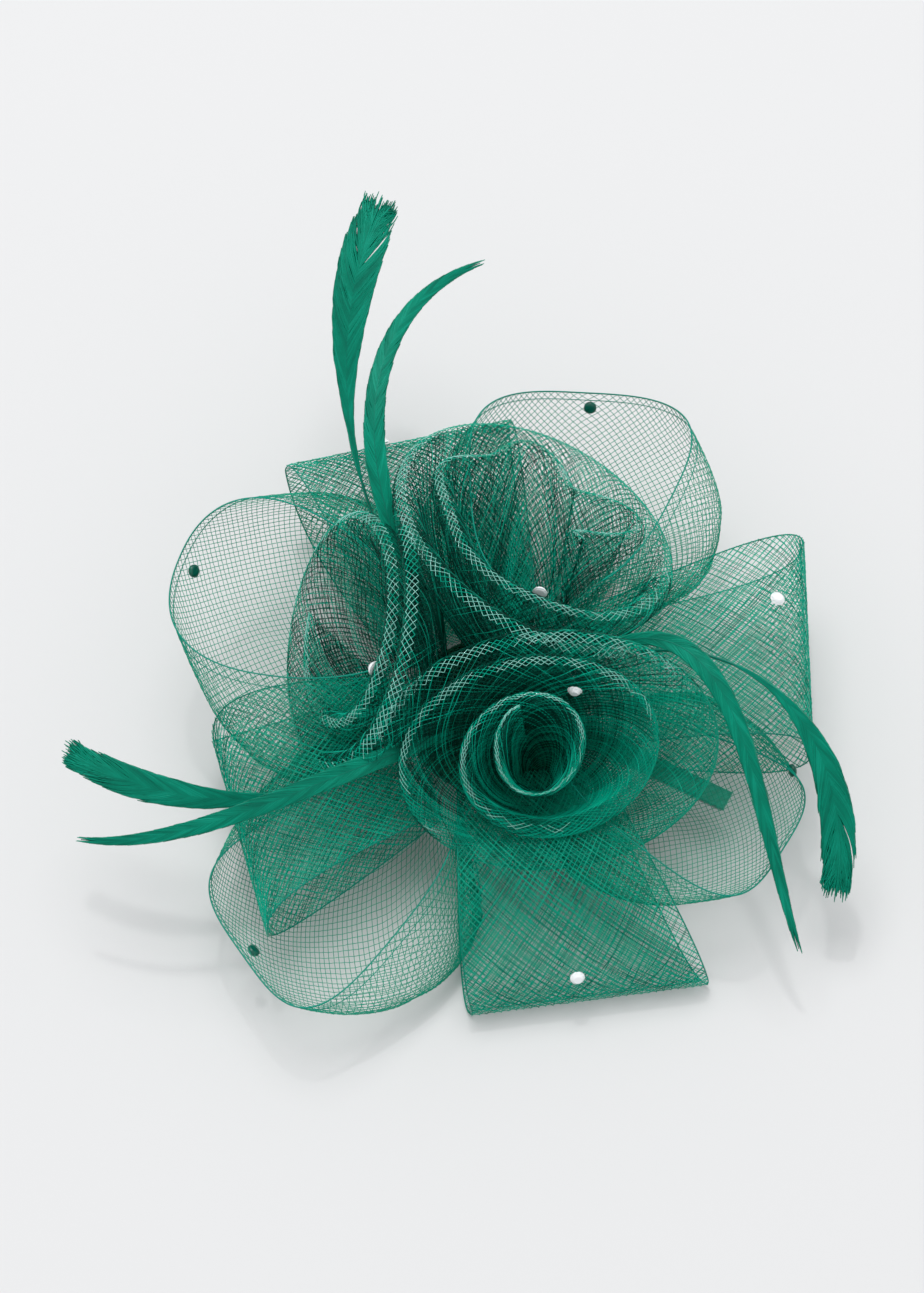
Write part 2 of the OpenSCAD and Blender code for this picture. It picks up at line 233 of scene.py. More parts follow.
def band_point(band, u, v):
    """A band loop: its ribbon runs out, folds over and runs back underneath."""
    out = 1 - np.abs(2 * u - 1)
    upper = u < 0.5
    fold_z = band.fold_z[1] * (1 - v) + band.fold_z[0] * v
    middle_z = np.where(upper, band.upper_z, band.lower_z)
    root_z = np.where(upper, *BAND_ROOT_Z)
    gap = np.where(upper, CRIN_T, -CRIN_T)
    reach = BAND_ROOT + (band.reach - BAND_ROOT) * (1 - (1 - out) ** 2)
    w = RIBBON_W * (1 - band.narrowing * (1 - out) ** 2)
    z = (1 - out) ** 2 * root_z + 2 * out * (1 - out) * (2 * middle_z - (root_z + fold_z) / 2)
    z = z + out ** 2 * fold_z + gap * out * 0.9
    side = band.shift * (0.4 + 0.6 * out) + w * (v - 0.5)
    return turned(np.stack([reach, side, z], -1), band.direction)


def rose_turn(rose, u):
    """Angle along a rosette's spiral, and the share of the way from its first radii to its last."""
    return np.radians(rose.first_angle + 360 * rose.turns * u), (1 - np.cos(math.pi * u)) / 2


def rose_point(rose, u, v):
    """A rosette: a ribbon rolled into a spiral cup whose rim is tilted away from the middle."""
    centre, first, root_at, last, shift_by = (
        np.array(p, float) for p in (rose.centre, rose.radii, rose.root, rose.last_radii, rose.last_shift))
    depth, number, angle = rose.petals
    a, eased = rose_turn(rose, u)
    petals = 1 + depth * u ** 6 * np.sin(number * a + math.radians(angle))
    tilt = math.radians(rose.tilt)
    tilt_dir = turned(np.array([math.cos(tilt), 0, -math.sin(tilt)]), rose.tilt_to)
    flat_dir = turned(np.array([1.0, 0, 0]), rose.tilt_to)
    side_dir = turned(np.array([0, 1.0, 0]), rose.tilt_to)
    r_tilt = ((first[0] + (last[0] - first[0]) * eased) * petals)[..., None]
    r_side = ((first[1] + (last[1] - first[1]) * eased) * petals)[..., None]
    ca, sa = np.cos(a)[..., None], np.sin(a)[..., None]
    top = centre + shift_by * (u * u)[..., None]
    rim = top + r_tilt * ca * tilt_dir + r_side * sa * side_dir
    root = root_at + rose.root_r * r_side / first[1] * (ca * flat_dir + sa * side_dir)
    belly = root_at + (top - root_at) * BELLY_UP
    belly = belly + BELLY_OUT * (r_tilt * ca * unit(tilt_dir + flat_dir) + r_side * sa * side_dir)
    return bezier(root, belly, rim, v)


def normal_at(point, u, v):
    """Direction square to a surface, from a small step along and across."""
    step = 0.002
    along = point(np.clip(u + step, 0, 1), v) - point(np.clip(u - step, 0, 1), v)
    across = point(u, np.clip(v + step, 0, 1)) - point(u, np.clip(v - step, 0, 1))
    return unit(np.cross(along, across))


# ---- Meshes ----

def new_piece(name, verts, faces, smooth=True, material_index=None):
    """A mesh object from points in millimetres."""
    mesh = bpy.data.meshes.new(name)
    verts = np.asarray(verts, np.float32) * MM
    faces = np.asarray(faces, np.int32)
    corners = faces.shape[1]
    mesh.vertices.add(len(verts))
    mesh.vertices.foreach_set("co", verts.ravel())
    mesh.loops.add(faces.size)
    mesh.loops.foreach_set("vertex_index", faces.ravel())
    mesh.polygons.add(len(faces))
    mesh.polygons.foreach_set("loop_start", np.arange(0, faces.size, corners, dtype=np.int32))
    mesh.polygons.foreach_set("loop_total", np.full(len(faces), corners, np.int32))
    mesh.polygons.foreach_set("use_smooth", np.full(len(faces), smooth))
    if material_index is not None:
        mesh.polygons.foreach_set("material_index", np.asarray(material_index, np.int32))
    mesh.update(calc_edges=True)
    mesh.validate()
    obj = bpy.data.objects.new(name, mesh)
    bpy.context.scene.collection.objects.link(obj)
    return obj


class Tubes:
    """Collects thin tubes, each a run of rings along a path, into one mesh."""

    def __init__(self, sides=3):
        self.sides = sides
        self.verts, self.faces, self.kinds, self.count = [], [], [], 0

    def add(self, path, square, radius, kind=0):
        """path and square are arrays of runs: (runs, rings, 3). radius is a number or (runs, rings)."""
        runs, rings = path.shape[:2]
        ahead = unit(np.gradient(path, axis=1))
        side = unit(np.cross(ahead, square))
        up = np.cross(side, ahead)
        radius = np.broadcast_to(np.asarray(radius, float), (runs, rings))[..., None]
        ring = []
        for k in range(self.sides):
            a = 2 * math.pi * k / self.sides + math.pi / 2
            ring.append(path + radius * (math.cos(a) * side + math.sin(a) * up))
        points = np.stack(ring, 2).reshape(-1, 3)
        base = self.count + (np.arange(runs)[:, None] * rings + np.arange(rings - 1)[None, :]) * self.sides
        base = base.reshape(-1)
        for k in range(self.sides):
            n = (k + 1) % self.sides
            self.faces.append(np.stack([base + k, base + n, base + self.sides + n, base + self.sides + k], 1))
            self.kinds.append(np.full(len(base), kind))
        self.verts.append(points)
        self.count += len(points)

    def build(self, name):
        return new_piece(name, np.concatenate(self.verts), np.concatenate(self.faces),
                         material_index=np.concatenate(self.kinds))


def lattice(length, width, pitch):
    """Filaments of a diagonal net over a strip: places along it and across it, 0 to 1, and a direction.

    Each filament runs from one edge of the strip to the other, by the corners of the net's diamonds."""
    cells_across = max(2, int(round(width / (pitch * math.sqrt(2)))))
    cells_along = max(2, int(round(length / (pitch * math.sqrt(2)))))
    steps = 2 * cells_along
    runs = []
    for direction in (1, -1):
        for start in range(-2 * cells_across + 1, steps, 2):
            i = np.arange(0, 2 * cells_across + 1)
            along = start + i
            keep = (along >= 0) & (along <= steps)
            if keep.sum() < 2:
                continue
            across = i[keep] / (2 * cells_across)
            if direction < 0:
                across = 1 - across
            runs.append((along[keep] / steps, across, direction))
    return runs


def net(tubes, point, length, kinds, lift=0.0, pitch=NET_PITCH, stride=1):
    """Weaves filaments over a ribbon's surface. lift moves the layer off it, and stride skips corners."""
    for along, across, direction in lattice(length, RIBBON_W, pitch):
        keep = (np.arange(len(along)) % stride == 0) | (np.arange(len(along)) == len(along) - 1)
        along, across = along[keep], across[keep]
        if len(along) < 2:
            continue
        p = point(along, across)
        n = normal_at(point, along, across)
        weave = np.where(np.arange(len(along)) % 2 == 0, 1.0, -1.0) * direction * THREAD_R * WEAVE
        jitter = rng.normal(0, SLACK, 3)
        path = p + n * (lift + weave)[:, None] + jitter
        tubes.add(path[None], n[None], THREAD_R, rng.choice(kinds))


def edge_cord(tubes, point, across, samples, radius):
    """A thicker selvedge thread along one edge of a strip."""
    u = np.linspace(0, 1, samples)
    v = np.full(samples, across)
    n = normal_at(point, u, np.clip(v, 0.01, 0.99))
    tubes.add(point(u, v)[None], n[None], radius, SELVEDGE)


# ---- Materials ----

def linear(value):
    return value / 12.92 if value <= 0.04045 else ((value + 0.055) / 1.055) ** 2.4


def srgb(*values):
    """A linear colour from three screen values of 0 to 255."""
    return tuple(linear(value / 255) for value in values) + (1,)


def plain(name, colour, roughness, **inputs):
    mat = bpy.data.materials.new(name)
    mat.use_nodes = True
    shader = mat.node_tree.nodes["Principled BSDF"]
    shader.inputs["Base Color"].default_value = colour
    shader.inputs["Roughness"].default_value = roughness
    for key, value in inputs.items():
        shader.inputs[key.replace("_", " ")].default_value = value
    return mat


NOISE_DETAIL = 3.0
# Height of a material's bumps, in metres
BUMP_HEIGHT = 0.0002


def varied(mat, light, dark, scale, stretch=(1, 1, 1), bump=0.0, bump_scale=0.0):
    """Gives a material a noise between two colours and, if asked, the bumps of a second noise."""
    nodes, links = mat.node_tree.nodes, mat.node_tree.links
    shader = nodes["Principled BSDF"]
    place = nodes.new("ShaderNodeTexCoord")
    mapping = nodes.new("ShaderNodeMapping")
    mapping.inputs["Scale"].default_value = stretch
    noise = nodes.new("ShaderNodeTexNoise")
    noise.inputs["Scale"].default_value = scale
    noise.inputs["Detail"].default_value = NOISE_DETAIL
    ramp = nodes.new("ShaderNodeValToRGB")
    ramp.color_ramp.elements[0].position = 0.3
    ramp.color_ramp.elements[0].color = dark
    ramp.color_ramp.elements[1].position = 0.7
    ramp.color_ramp.elements[1].color = light
    links.new(place.outputs["Object"], mapping.inputs["Vector"])
    links.new(mapping.outputs["Vector"], noise.inputs["Vector"])
    links.new(noise.outputs["Fac"], ramp.inputs["Fac"])
    links.new(ramp.outputs["Color"], shader.inputs["Base Color"])
    if bump:
        grain = nodes.new("ShaderNodeTexNoise")
        grain.inputs["Scale"].default_value = bump_scale
        node = nodes.new("ShaderNodeBump")
        node.inputs["Strength"].default_value = bump
        node.inputs["Distance"].default_value = BUMP_HEIGHT
        links.new(place.outputs["Object"], grain.inputs["Vector"])
        links.new(grain.outputs["Fac"], node.inputs["Height"])
        links.new(node.outputs["Normal"], shader.inputs["Normal"])
    return mat


TINT = dict(Specular_Tint=(0.3, 1.0, 0.85, 1))
# The pale crin colour is a painted highlight: near-white glints painted onto the crests of the rosettes' rims
CRIN = [plain("crin_filament", srgb(0, 182, 150), 0.3, Specular_IOR_Level=0.35, **TINT),
        plain("crin_filament_painted_glint", srgb(140, 222, 206), 0.12, Specular_IOR_Level=1.0),
        plain("crin_selvedge", srgb(0, 140, 118), 0.34, Specular_IOR_Level=0.4, **TINT),
        plain("crin_filament_deep", srgb(0, 134, 109), 0.3, Specular_IOR_Level=0.3, **TINT),
        # The darkest crin colour is painted shade, given to filaments in the flower's heart and cups
        plain("crin_filament_painted_shade", srgb(0, 62, 50), 0.3, Specular_IOR_Level=0.2, **TINT),
        plain("crin_filament_sheer", srgb(0, 178, 144), 0.3, Specular_IOR_Level=0.25, Alpha=0.62, **TINT)]
FEATHER = [varied(plain("feather_vane", srgb(0, 134, 106), 0.45, Specular_IOR_Level=0.3, **TINT),
                  srgb(0, 142, 114), srgb(0, 122, 96), 90),
           varied(plain("feather_vane_light", srgb(0, 146, 118), 0.4, Specular_IOR_Level=0.4, **TINT),
                  srgb(4, 156, 128), srgb(0, 136, 108), 90),
           varied(plain("feather_vane_deep", srgb(0, 116, 92), 0.46, Specular_IOR_Level=0.3, **TINT),
                  srgb(0, 124, 98), srgb(0, 106, 84), 90),
           plain("feather_quill", srgb(0, 112, 90), 0.35, **TINT)]
CRYSTAL = plain("crystal_facet", srgb(250, 252, 253), 0.06, Metallic=0.15, Specular_IOR_Level=1.0)
STUD = varied(plain("stud_green", srgb(0, 92, 76), 0.3), srgb(0, 100, 82), srgb(0, 76, 62), 900)
FELT = varied(plain("felt", srgb(0, 92, 74), 0.95, Sheen_Weight=0.4), srgb(4, 104, 84), srgb(0, 74, 58), 700,
              bump=0.8, bump_scale=2500)
BUCKRAM = varied(plain("buckram", srgb(0, 104, 76), 0.8), srgb(6, 120, 88), srgb(0, 88, 62), 500)
THREAD = varied(plain("thread", srgb(0, 100, 72), 0.6), srgb(10, 118, 86), srgb(0, 84, 60), 1500)
STEEL = varied(plain("clip_steel", srgb(176, 178, 180), 0.28, Metallic=1.0), srgb(190, 192, 194),
               srgb(160, 162, 165), 60, (1, 30, 30))
SPRING = plain("spring_steel", srgb(140, 142, 146), 0.3, Metallic=1.0)
GROSGRAIN = varied(plain("grosgrain", srgb(0, 150, 124), 0.6, Sheen_Weight=0.2), srgb(6, 164, 136),
                   srgb(0, 128, 104), 900)
FLOOR = plain("floor", srgb(216, 216, 216), 0.8)


def dress(obj, *materials):
    """Gives a piece its materials. Clearing a list that is empty would reset the faces' own materials."""
    if obj.data.materials:
        obj.data.materials.clear()
    for m in materials:
        obj.data.materials.append(m)
    return obj


def stands_for(obj, node):
    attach(obj, "flower")
    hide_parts(node)


# ---- Crin ----

def even(point, across):
    """The same surface with its first coordinate running evenly along it, and its length at that place."""
    u = np.linspace(0, 1, 800)
    p = point(u, np.full_like(u, across))
    gone = np.concatenate([[0], np.cumsum(np.linalg.norm(np.diff(p, axis=0), axis=1))])
    table = gone / gone[-1]
    return lambda s, v: point(np.interp(s, table, u), v), gone[-1]


def width_of(point, along):
    v = np.linspace(0, 1, 60)
    p = point(np.full_like(v, along), v)
    return np.linalg.norm(np.diff(p, axis=0), axis=1).sum()


def gathered(surface, folds, depth, seed, peak=0.35):
    """A surface with soft folds that run out from the root and fade before the rim."""
    turn = np.random.default_rng(seed).uniform(0, 2 * math.pi, 3)

    def point(u, v):
        n = normal_at(surface, u, np.clip(v, 0.02, 0.98))
        along = 2 * math.pi * folds * u
        wave = (0.55 * np.sin(along + turn[0]) + 0.3 * np.sin(1.7 * along + turn[1])
                + 0.15 * np.sin(2.9 * along + turn[2]))
        fade = np.where(v < peak, v / peak, np.clip((1 - v) / (1 - peak), 0, 1) ** 1.5)
        return surface(u, v) + n * (depth * wave * fade)[..., None]
    return point


def sheer_loop(side):
    node = "sheer_loop_" + side
    surface = gathered(lambda u, v: loop_point(LOOPS[side], u, v), 9, 1.3, seed=len(side), peak=0.2)
    point, length = even(surface, 0.7)
    tubes = Tubes()
    net(tubes, point, length, (SHEER,))
    edge_cord(tubes, point, 1.0, 220, THREAD_R * 2.2)
    edge_cord(tubes, point, 0.965, 220, THREAD_R * 1.3)
    obj = dress(tubes.build("net_" + node), *CRIN)
    stands_for(obj, node)


def band_loop(side):
    node = "band_loop_" + side
    point, length = even(lambda u, v: band_point(BANDS[side], u, v), 0.5)
    tubes = Tubes()
    for lift, pitch, stride in BAND_LAYERS:
        net(tubes, point, length, (FILAMENT, FILAMENT, FILAMENT, DEEP), lift, pitch, stride)
    for across in (0.0, 1.0):
        edge_cord(tubes, point, across, 160, THREAD_R * 2.0)
    obj = dress(tubes.build("net_" + node), *CRIN)
    stands_for(obj, node)


def puff_at(side, u):
    """Half thickness, less where the rim turns sharply."""
    outer, inner = PUFF[side]
    rose = ROSES[side]
    a, eased = rose_turn(rose, u)
    r_tilt = rose.radii[0] + (rose.last_radii[0] - rose.radii[0]) * eased
    r_side = rose.radii[1] + (rose.last_radii[1] - rose.radii[1]) * eased
    bend = ((r_tilt * np.sin(a)) ** 2 + (r_side * np.cos(a)) ** 2) ** 1.5 / (r_tilt * r_side)
    return (outer + (inner - outer) * u) * np.clip(bend / FULL_PUFF_BEND, LEAST_PUFF, 1)


def tube_surface(side):
    """The rolled tube: q runs from the root up one side, over the round crest and down the other."""
    surface = gathered(lambda u, v: rose_point(ROSES[side], u, v), *ROSE_FOLDS[side], seed=len(side))

    def point(u, q):
        out = 1 - np.abs(2 * q - 1)
        flat = np.clip(out / CREST_FROM, 0, 1)
        round_at = np.clip((out - CREST_FROM) / (1 - CREST_FROM), 0, 1) * math.pi / 2
        v = (1 - CREST) * flat + CREST * np.sin(round_at)
        half = puff_at(side, u) * (0.08 + 0.92 * flat ** 2.5) * np.cos(round_at)
        n = normal_at(surface, u, np.clip(v, 0.01, 0.99))
        return surface(u, v) + n * (np.where(q < 0.5, 1.0, -1.0) * half)[..., None]
    return point


def filament_kinds(at, on_rim):
    """Colours that a stretch of filament may have, by how far it is from the middle of the flower: painted
    highlights on the rims, painted shade in the heart and the cups.
    """
    away = math.hypot(at[0] - HEART[0], at[1] - HEART[1])
    if on_rim:
        if away < CUP_R:
            return PAINTED_GLINT, PAINTED_GLINT, FILAMENT
        return (PAINTED_GLINT, FILAMENT, FILAMENT) if away < GLINT_R else (FILAMENT,)
    if away < HEART_R:
        return PAINTED_SHADE, PAINTED_SHADE, DEEP
    return (FILAMENT, DEEP, PAINTED_SHADE, PAINTED_SHADE) if away < CUP_R else (FILAMENT, FILAMENT, DEEP)


def rosette(side):
    """A rolled tube's net. Near its crest it keeps every corner, and on its walls one in three."""
    node = "rosette_" + side
    flat = even(lambda u, v: rose_point(ROSES[side], u, v), 0.9)[0]
    tube_width = 2 * width_of(flat, 0.5)
    point, length = even(tube_surface(side), 0.4)
    tubes = Tubes()
    for along, across, direction in lattice(length, tube_width, ROSE_PITCH):
        keep = (np.abs(2 * across - 1) < 0.3) | (np.arange(len(along)) % 3 == 0)
        keep[-1] = True
        along, across = along[keep], across[keep]
        if len(along) < 2:
            continue
        n = normal_at(point, along, across)
        path = point(along, across) + n * direction * ROSE_THREAD_R * WEAVE
        # Stretches that cross the crest take the pale colour of a painted highlight, chosen by distance from
        # the flower's middle
        near_rim = np.flatnonzero(np.abs(2 * across - 1) < GLINT_SHARE)
        crosses = len(near_rim) > 2
        cuts = [0, near_rim[0], near_rim[-1], len(along) - 1] if crosses else [0, len(along) - 1]
        for first, last in zip(cuts[:-1], cuts[1:]):
            if last > first:
                kinds = filament_kinds(path[(first + last) // 2], crosses and first == near_rim[0])
                stretch = slice(first, last + 1)
                tubes.add(path[None, stretch], n[None, stretch], ROSE_THREAD_R, rng.choice(kinds))
    obj = dress(tubes.build("net_" + node), *CRIN)
    stands_for(obj, node)


# ---- Feathers ----

def spine_frame(spine, t):
    """Point, direction, side and face of a feather's quill at t."""
    p = cubic(spine, t)
    run = unit(cubic(spine, np.minimum(t + 0.02, 1)) - cubic(spine, np.maximum(t - 0.02, 0)))
    tilt = math.radians(FEATHER_TILT)
    side = unit(np.cross(run, np.array([0, -math.sin(tilt), math.cos(tilt)])))
    return p, run, side, np.cross(side, run)


def cut_half(t, w):
    """Half width of a cut feather: narrow at first, and wide from its middle on."""
    widened = np.sin(np.radians(np.minimum(90, 180 * np.maximum(0, t - 0.38)))) ** 1.2
    return w / 2 * (0.12 + 0.88 * widened) * (1 - 0.25 * t ** 3)


def curl_half(t, w):
    """Half width of a curled feather: it widens soon and runs out to a fine tip."""
    widened = np.sin(np.radians(np.minimum(90, 300 * t)))
    return w / 2 * (0.3 + 0.7 * widened) * (1 - 0.85 * t ** 3)


# first and last are where the barbs leave the quill, sweep is how far they run along it, frayed is where the
# ragged tip begins, all as shares of the quill, and barbs is their number on each side
Vane = namedtuple("Vane", "half_at first last barbs sweep frayed")
CUT_VANE = Vane(cut_half, 0.24, 0.97, 480, 0.14, 0.79)
CURL_VANE = Vane(curl_half, 0.0, 0.93, 420, 0.09, 0.96)
# Half thickness of a barb at its foot. A quill's radius is QUILL_TIP_R and a part of QUILL_R that shrinks
# towards its tip
BARB_R = 0.3
QUILL_R = 0.5
QUILL_TIP_R = 0.06


def feather(kind, side, spine, w, vane):
    """A quill with barbs on both sides, each a thin tube that leaves the quill at a slant."""
    tubes = Tubes()
    t = np.linspace(0, 1, 60)
    p, run, side_way, face = spine_frame(spine, t)
    tubes.add(p[None], face[None], (QUILL_R * (1 - 0.85 * t))[None] + QUILL_TIP_R, QUILL)
    barbs, sweep, frayed = vane.barbs, vane.sweep, vane.frayed
    base = np.linspace(vane.first, vane.last, barbs)
    spine_length = np.linalg.norm(np.diff(cubic(spine, np.linspace(0, 1, 50)), axis=0), axis=1).sum()
    ease = np.linspace(0, 1, 7)
    bow = np.sin(ease * math.pi / 2)[None, :]
    for hand in (-1, 1):
        start = base + rng.normal(0, 0.002, barbs)
        reach = sweep * (1 + rng.normal(0, 0.06, (barbs, 1)))
        reach = np.minimum(reach, 1 + rng.normal(0, 0.012, (barbs, 1)) - start[:, None])
        length = vane.half_at(np.clip(start + sweep * 0.7, 0, 1), w)[:, None]
        length = length * (1 + rng.normal(0, 0.04, (barbs, 1)))
        length = length * np.where(start > frayed, rng.uniform(0.03, 1, barbs), 1)[:, None]
        tip = np.clip((start[:, None] - frayed) / (1 - frayed), 0, 1)
        at = start[:, None] + ease[None] * reach
        over = np.maximum(at - 1, 0)
        q, run, side_way, face = spine_frame(spine, np.clip(at, 0, 1))
        spread = length * bow * (1 + tip * rng.normal(0, 0.12, (barbs, 1)))
        stray = rng.normal(0, 0.15, (barbs, 1)) * ease[None] * (1 + 2 * tip)
        droop = -VANE_DROOP * length * ease[None] ** 2 + stray
        path = (q + side_way * (hand * spread)[..., None] + face * droop[..., None]
                + run * (over * spine_length)[..., None])
        thin = BARB_R * (1 - 0.6 * ease ** 3)[None] * np.ones((barbs, 1))
        streak = 0.5 * np.sin(start * 31 + hand) + 0.5 * np.sin(start * 83) + rng.normal(0, 0.6, barbs)
        tones = ((VANE, np.abs(streak) <= 0.7), (VANE_LIGHT, streak > 0.7), (VANE_DEEP, streak < -0.7))
        for tone, chosen in tones:
            tubes.add(path[chosen], face[chosen], thin[chosen], tone)
    obj = dress(tubes.build(kind + "_plume_" + side), *FEATHER)
    stands_for(obj, kind + "_feather_" + side)


# ---- Trim ----

SURFACES = {"rose": (ROSES, rose_point), "band": (BANDS, band_point), "loop": (LOOPS, loop_point)}
# How far a rosette's stone stands off its rolled tube
STONE_LIFT = 0.4


def place_on(kind, side, u, v):
    """One place on a surface, and the direction that the surface faces there."""
    table, point = SURFACES[kind]

    def surface(a, b):
        return point(table[side], a, b)
    at = (np.array([u]), np.array([v]))
    return surface(*at)[0], normal_at(surface, *at)[0]


def turned_solid(name, profile, sides, at, facing, smooth, twist=0.0):
    """Rings of a profile given as (radius, height), round the direction that it faces."""
    z = unit(np.array(facing, float))
    x = unit(np.cross(z, [0.3, 0.2, 1.0] if abs(z[2]) < 0.9 else [1.0, 0, 0]))
    y = np.cross(z, x)
    verts, faces = [], []
    for row, (r, h) in enumerate(profile):
        for k in range(sides):
            a = 2 * math.pi * (k + 0.5 * (row % 2) * twist) / sides
            verts.append(at + x * r * math.cos(a) + y * r * math.sin(a) + z * h)
    for row in range(len(profile) - 1):
        for k in range(sides):
            n = (k + 1) % sides
            a, b, c, d = row * sides + k, row * sides + n, (row + 1) * sides + n, (row + 1) * sides + k
            faces += [(a, b, c), (a, c, d)]
    for row, flip in ((0, True), (len(profile) - 1, False)):
        hub = len(verts)
        verts.append(at + z * profile[row][1])
        for k in range(sides):
            n = (k + 1) % sides
            a, b = row * sides + k, row * sides + n
            faces.append((hub, b, a) if flip else (hub, a, b))
    return new_piece(name, verts, faces, smooth)


def stone(label):
    kind, side, u, v = STONES[label]
    p, n = place_on(kind, side, u, v)
    lift = CRIN_T if kind == "band" else puff_at(side, u) + STONE_LIFT
    r = STONE_D / 2
    profile = [(r * 0.7, 0.0), (r, 0.25), (r, 0.45), (r * 0.82, 0.95), (r * 0.55, 1.45), (r * 0.5, 1.5)]
    obj = turned_solid("crystal_" + label, profile, 10, p + n * lift, n, smooth=False, twist=1.0)
    dress(obj, CRYSTAL)
    stands_for(obj, "stone_" + label)


def stud(side):
    p, n = place_on("loop", side, *STUD_AT[side])
    r = STUD_D / 2
    profile = [(r * 0.6, -0.7), (r, -0.5), (r, 0.3)] + [
        (r * math.cos(a), 0.3 + 0.8 * math.sin(a)) for a in np.linspace(0.2, 1.5, 5)]
    obj = dress(turned_solid("dome_loop_" + side, profile, 24, p, n, smooth=True), STUD)
    stands_for(obj, "stud_loop_" + side)


# ---- Base ----

# How far inside the felt's edge the buckram's rim and the row of stitches are
RIM_INSET = 1.2


def felt():
    """A felt disc with a soft rounded edge."""
    sides, r = 180, BASE_R
    radii = [0.01, 6, 12, 18, 22, r - 0.5, r - 0.12, r, r - 0.12, r - 0.5, 22, 18, 12, 6, 0.01]
    heights = [0.02] * 5 + [0.06, 0.3, 0.7, 1.1, 1.34] + [1.38] * 5
    verts, faces = [], []
    for row, (ring, z) in enumerate(zip(radii, heights)):
        for k in range(sides):
            a = 2 * math.pi * k / sides
            fuzz = rng.normal(0, 0.05) if ring > 20 else 0
            verts.append((math.cos(a) * (ring + fuzz), math.sin(a) * (ring + fuzz), z))
    for row in range(len(radii) - 1):
        for k in range(sides):
            n = (k + 1) % sides
            faces.append((row * sides + n, row * sides + k, (row + 1) * sides + k, (row + 1) * sides + n))
    obj = dress(new_piece("felt_disc", verts, faces), FELT)
    stands_for(obj, "felt_backing")


def buckram():
    """A stiff open-weave disc: two crossing sets of threads bound by a rim wire."""
    tubes = Tubes(4)
    pitch, thread_r, rim_r, weave = 1.1, 0.26, 0.55, 0.18
    r, z = BASE_R - RIM_INSET, FELT_T + BUCKRAM_T / 2
    up = np.array([0, 0, 1.0])
    for k, offset in enumerate(np.arange(-r + 0.6, r, pitch)):
        half = math.sqrt(r * r - offset * offset)
        along = np.linspace(-half, half, 32)
        wave = weave * np.cos(along / pitch * math.pi) * (1 if k % 2 else -1)
        across = np.full_like(along, offset)
        tubes.add(np.stack([along, across, z + wave], -1)[None], np.tile(up, (1, 32, 1)), thread_r)
        tubes.add(np.stack([across, along, z - wave], -1)[None], np.tile(up, (1, 32, 1)), thread_r)
    a = np.linspace(0, 2 * math.pi, 120)
    rim = np.stack([r * np.cos(a), r * np.sin(a), np.full_like(a, z)], -1)
    tubes.add(rim[None], np.tile(up, (1, 120, 1)), rim_r)
    obj = dress(tubes.build("buckram_weave"), BUCKRAM)
    stands_for(obj, "buckram_disc")


def binding():
    """Thread wound round the roots, and stitches round the edge of the felt, which the CAD leaves out."""
    tubes = Tubes(6)
    turns, coil_r, coil_h, strand_r, stitches, stitch_r = 9, 5.3, 3.0, 0.2, 40, 0.14
    up = np.array([0, 0, 1.0])
    a = np.linspace(0, 2 * math.pi * turns, 60 * turns)
    height = FELT_T + BUCKRAM_T + 0.3 + coil_h * a / a[-1]
    r = coil_r + 0.35 * np.sin(a * 0.37)
    coil = np.stack([r * np.cos(a), r * np.sin(a), height], -1)
    tubes.add(coil[None], np.tile(up, (1, len(a), 1)), strand_r)
    for k in range(stitches):
        spin = 2 * math.pi * k / stitches
        out = np.array([math.cos(spin), math.sin(spin), 0])
        round_edge = np.linspace(-0.6, 1.0, 9) * math.pi
        stitch = np.stack([out * 1.35 * math.cos(b) + up * 0.95 * math.sin(b) for b in round_edge])
        path = out * (BASE_R - RIM_INSET) + stitch + np.array([0, 0, FELT_T / 2])
        slant = np.array([-math.sin(spin), math.cos(spin), 0]) * 0.5
        path = path + slant * np.linspace(-1, 1, 9)[:, None]
        tubes.add(path[None], np.tile(out, (1, 9, 1)), stitch_r)
    obj = dress(tubes.build("binding_thread"), THREAD)
    stands_for(obj, "thread_binding")


# ---- Clip ----

def in_clip(points):
    return turned(np.asarray(points, float), CLIP_AZ) + np.array(PIN_AT)


def grosgrain():
    """Ribbed ribbon wrapped round the top blade, closed at both ends."""
    half_w = BLADE_W / 2 + RIBBON_T
    low, high = CLIP_TOP_Z - STEEL_T - RIBBON_T, CLIP_TOP_Z + RIBBON_T
    ribs, rib_depth, corner = 150, 0.07, 0.25
    x = np.linspace(RIBBON_FROM, BLADE_L + 0.3, ribs * 2 + 1)
    outline = []
    for cx, cy, a0 in ((half_w, high, 0), (-half_w, high, 90), (-half_w, low, 180), (half_w, low, 270)):
        for a in (0, 30, 60, 90):
            s = math.radians(a0 + a)
            outline.append((cx - math.copysign(corner, cx) + corner * math.cos(s),
                            cy + (corner if cy == low else -corner) + corner * math.sin(s)))
    n = len(outline)
    mid = (high + low) / 2
    verts, faces = [], []
    for i, along in enumerate(x):
        rib = -rib_depth if i % 2 else 0.0
        for y, z in outline:
            verts.append((along, y * (1 + rib / half_w), mid + (z - mid) * (1 + rib / (high - mid))))
    for i in range(len(x) - 1):
        for k in range(n):
            m = (k + 1) % n
            faces.append((i * n + k, i * n + m, (i + 1) * n + m, (i + 1) * n + k))
    obj = new_piece("grosgrain_cover", in_clip(verts), faces)
    close_ends(obj, n, len(x))
    dress(obj, GROSGRAIN)
    stands_for(obj, "clip_ribbon")


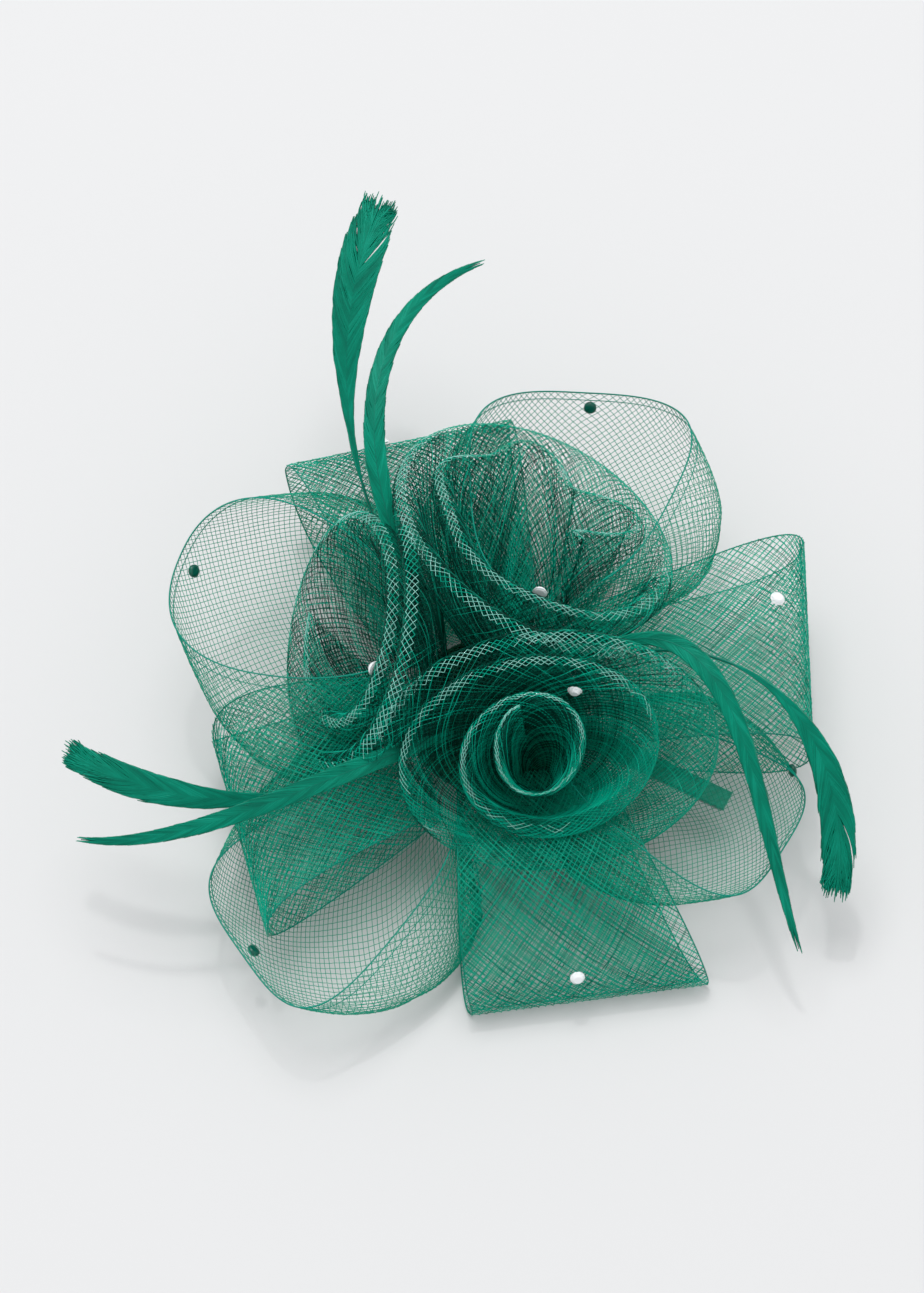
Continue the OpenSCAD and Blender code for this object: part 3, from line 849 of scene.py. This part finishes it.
def close_ends(obj, n, rows):
    """Closes the two open ends of a swept outline."""
    bm = bmesh.new()
    bm.from_mesh(obj.data)
    bm.verts.ensure_lookup_table()
    bm.faces.new([bm.verts[k] for k in reversed(range(n))])
    bm.faces.new([bm.verts[(rows - 1) * n + k] for k in range(n)])
    bm.to_mesh(obj.data)
    bm.free()


def clip_metal():
    for node in ("clip_top_blade", "clip_jaw", "clip_pin"):
        dress(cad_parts[node], STEEL)
    dress(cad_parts["clip_spring"], SPRING)


# ---- Stage ----

# The floor is this far under the lowest point of the CAD, and this far from its middle to its edges
FLOOR_GAP = 0.4
FLOOR_HALF = 3000


def make_stage():
    z, s = cad_box[0][2] / MM - FLOOR_GAP, FLOOR_HALF
    corners = [(-s, -s, z), (s, -s, z), (s, s, z), (-s, s, z)]
    obj = new_piece("stage_floor", corners, [(0, 1, 2, 3)], smooth=False)
    dress(obj, FLOOR)


def area_light(name, at, size, energy):
    """A round light that points at the origin."""
    data = bpy.data.lights.new(name, "AREA")
    data.shape = "DISK"
    data.size = size
    data.energy = energy
    obj = bpy.data.objects.new(name, data)
    bpy.context.scene.collection.objects.link(obj)
    obj.location = at
    obj.rotation_euler = (-Vector(at)).to_track_quat("-Z", "Y").to_euler()


def make_lights():
    world = bpy.data.worlds.new("studio")
    world.use_nodes = True
    background = world.node_tree.nodes["Background"]
    background.inputs["Color"].default_value = (0.95, 0.96, 0.98, 1)
    background.inputs["Strength"].default_value = 0.75
    bpy.context.scene.world = world
    bpy.context.scene.view_settings.view_transform = "Standard"
    area_light("key_back", (-0.5, 2.4, 6.0), 4.4, 215.0)
    area_light("sparkle_back", (-0.4, 2.0, 4.4), 0.3, 26.0)


make_camera()
for side in LOOPS:
    sheer_loop(side)
for side in BANDS:
    band_loop(side)
for side in ROSES:
    rosette(side)
for side, (spine, w) in CUT_FEATHERS.items():
    feather("cut", side, spine, w, CUT_VANE)
for side, (spine, w) in CURL_FEATHERS.items():
    feather("curl", side, spine, w, CURL_VANE)
for label in STONES:
    stone(label)
for side in STUD_AT:
    stud(side)
felt()
buckram()
binding()
grosgrain()
clip_metal()
make_stage()
make_lights()
